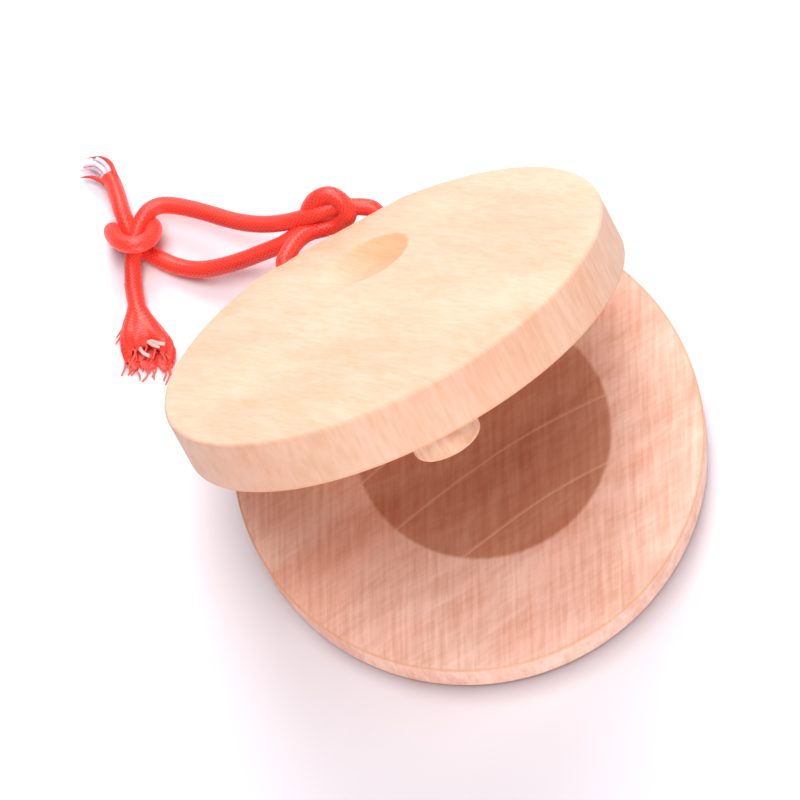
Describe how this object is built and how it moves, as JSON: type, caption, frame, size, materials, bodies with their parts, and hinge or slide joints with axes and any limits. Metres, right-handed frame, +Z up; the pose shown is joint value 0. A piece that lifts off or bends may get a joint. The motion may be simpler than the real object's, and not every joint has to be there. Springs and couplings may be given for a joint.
{
  "type": "castanets",
  "caption": "Pair of round wooden finger castanets, hinged by an elastic cord that springs the shells open, with a knotted finger loop and a striking button.",
  "frame": {"origin": "centre of the lower shell's flat outer face, where the castanets rest on a table", "axes": "+Z up, out of the table; +Y towards the cord hinge; the mouth opens towards -Y; +X along the hinge"},
  "size_m": [0.0579, 0.085, 0.049],
  "materials": {
    "shell_wood": "pale beech, sanded and sealed with a thin matt coat",
    "button_wood": "pale beech, turned, end grain showing",
    "cord_sheath": "red braided textile over elastic",
    "cord_core": "white natural rubber strands",
    "cord_fray": "red loose textile yarn, paler at its tips"
  },
  "bodies": {
    "lower": {"lower_shell": "shell_wood", "hinge_stitch": "cord_sheath"},
    "upper": {"upper_shell": "shell_wood", "striker_button": "button_wood", "lacing_left": "cord_sheath", "lacing_right": "cord_sheath", "hinge_knot": "cord_sheath", "loop_back": "cord_sheath", "loop_front": "cord_sheath", "end_knot": "cord_sheath", "cut_tail": "cord_sheath", "rubber_core": "cord_core", "frayed_tail": "cord_sheath", "frayed_end": "cord_fray"}
  },
  "joints": [
    {"name": "clap", "type": "hinge", "parent": "lower", "child": "upper", "pos_m": [0, 0.0226, 0.00716], "axis": [1, 0, 0], "range_deg": [0, 43], "stiffness_Nm_per_rad": 0.01, "springref_deg": -20.05}
  ]
}
